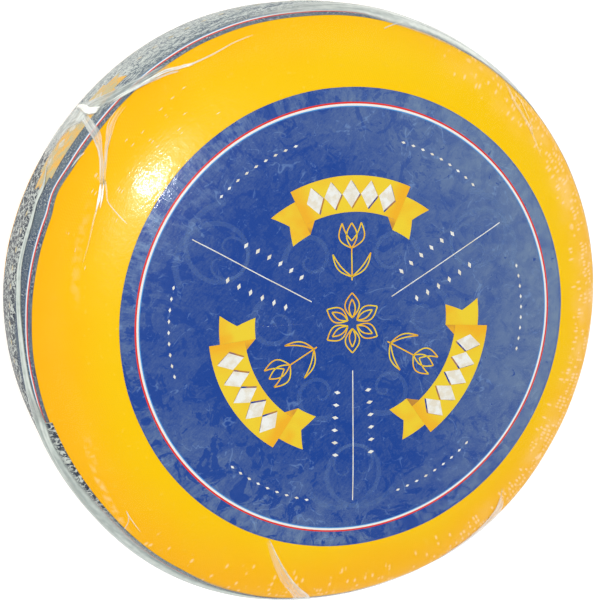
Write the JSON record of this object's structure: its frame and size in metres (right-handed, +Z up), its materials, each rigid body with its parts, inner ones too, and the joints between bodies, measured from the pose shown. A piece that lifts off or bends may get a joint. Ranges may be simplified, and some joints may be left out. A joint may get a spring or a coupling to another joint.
{
  "type": "gouda wheel",
  "caption": "Whole round gouda wheel with gently domed faces and a rounded rim, in a round face label, a side label strip and clear shrink film.",
  "frame": {"origin": "centre of the flat underside", "axes": "+Z up along the wheel's axis, +Y towards the top of the face label's design, +X to the right of it"},
  "size_m": [0.35, 0.35, 0.1255],
  "materials": {
    "rind": "satin yellow rind coating with a faint cloth imprint",
    "face_paper": "printed paper in mottled blue with a red and white ring and gold ornament",
    "side_paper": "printed paper strip in blotchy blue-grey with a red and white line",
    "film": "clear glossy shrink film",
    "folded_film": "clear film folded in layers, whitish green and streaked"
  },
  "bodies": {
    "root": {"cheese_wheel": "rind", "face_label": "face_paper", "side_label": "side_paper", "film_front": "film", "film_back": "film", "film_fin": "folded_film", "film_gather": "folded_film", "film_pleat_upper": "folded_film", "film_pleat_lower": "folded_film"}
  },
  "joints": []
}
